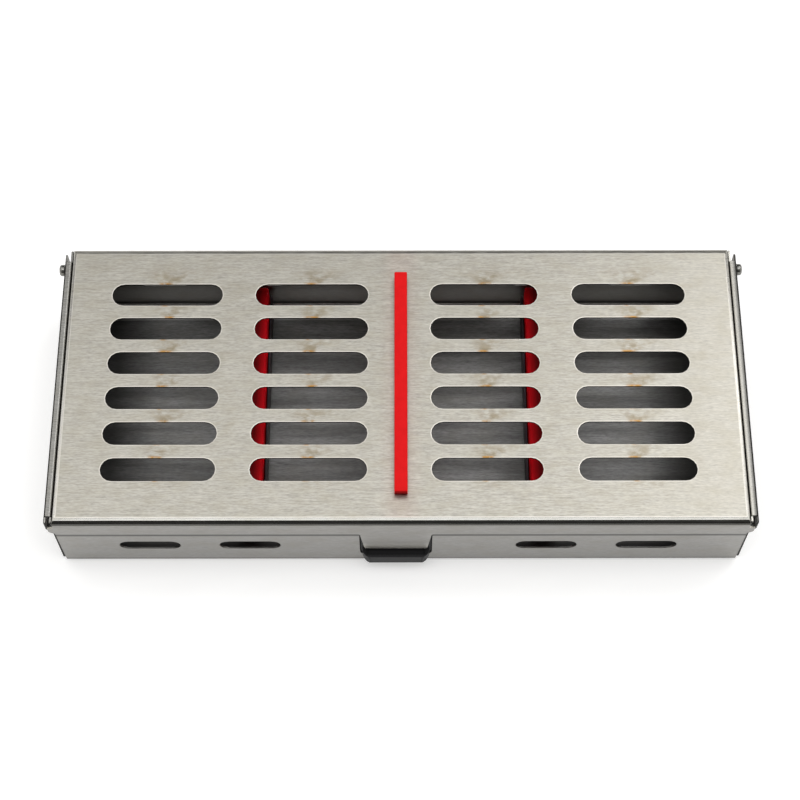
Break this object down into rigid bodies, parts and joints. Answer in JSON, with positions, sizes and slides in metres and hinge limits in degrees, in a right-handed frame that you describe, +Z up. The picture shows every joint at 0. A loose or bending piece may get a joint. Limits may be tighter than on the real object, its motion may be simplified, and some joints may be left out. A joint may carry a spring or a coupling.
{
  "type": "dental instrument cassette",
  "caption": "Low steel sterilising cassette with a slotted hinged lid, rolled end hems, red silicone rails and hold-down strip, and a black push latch at the front.",
  "frame": {"origin": "on the bench, under the middle of the closed cassette", "axes": "+X along the length to the viewer's right, -Y towards the latch at the front, +Z up"},
  "size_m": [0.204, 0.091, 0.033],
  "materials": {
    "tray_steel": "fine brushed grain along the length",
    "lid_steel": "fine brushed grain along the length, bright rims round the slots, faint brown water marks",
    "channel_steel": "plain mill finish",
    "rivet_steel": "smooth turned or drawn",
    "red_silicone": "satin",
    "dark_silicone": "satin",
    "black_plastic": "satin moulded"
  },
  "bodies": {
    "base": {"base_tray": "tray_steel", "rail_channel_left": "channel_steel", "rail_channel_right": "channel_steel", "rail_pad_left": "dark_silicone", "rail_pad_right": "dark_silicone", "rail_rivet_left_front": "rivet_steel", "rail_rivet_left_back": "rivet_steel", "rail_rivet_right_front": "rivet_steel", "rail_rivet_right_back": "rivet_steel", "hinge_rivet_left": "rivet_steel", "hinge_rivet_right": "rivet_steel", "hinge_washer_left": "rivet_steel", "hinge_washer_right": "rivet_steel", "latch_bracket": "channel_steel", "latch_pin": "rivet_steel", "latch_clip": "rivet_steel", "latch_spring": "rivet_steel"},
    "lid": {"lid_panel": "lid_steel", "hold_down_strip": "red_silicone"},
    "latch": {"latch_button": "black_plastic"}
  },
  "joints": [
    {"name": "lid_hinge", "type": "hinge", "parent": "base", "child": "lid", "pos_m": [0, 0.0396, 0.027], "axis": [-1, 0, 0], "range_deg": [0, 180]},
    {"name": "latch_push", "type": "hinge", "parent": "base", "child": "latch", "pos_m": [-0.0015, -0.0377, 0.02], "axis": [1, 0, 0], "range_deg": [0, 6], "stiffness_Nm_per_rad": 0.05, "springref_deg": -20.05}
  ]
}
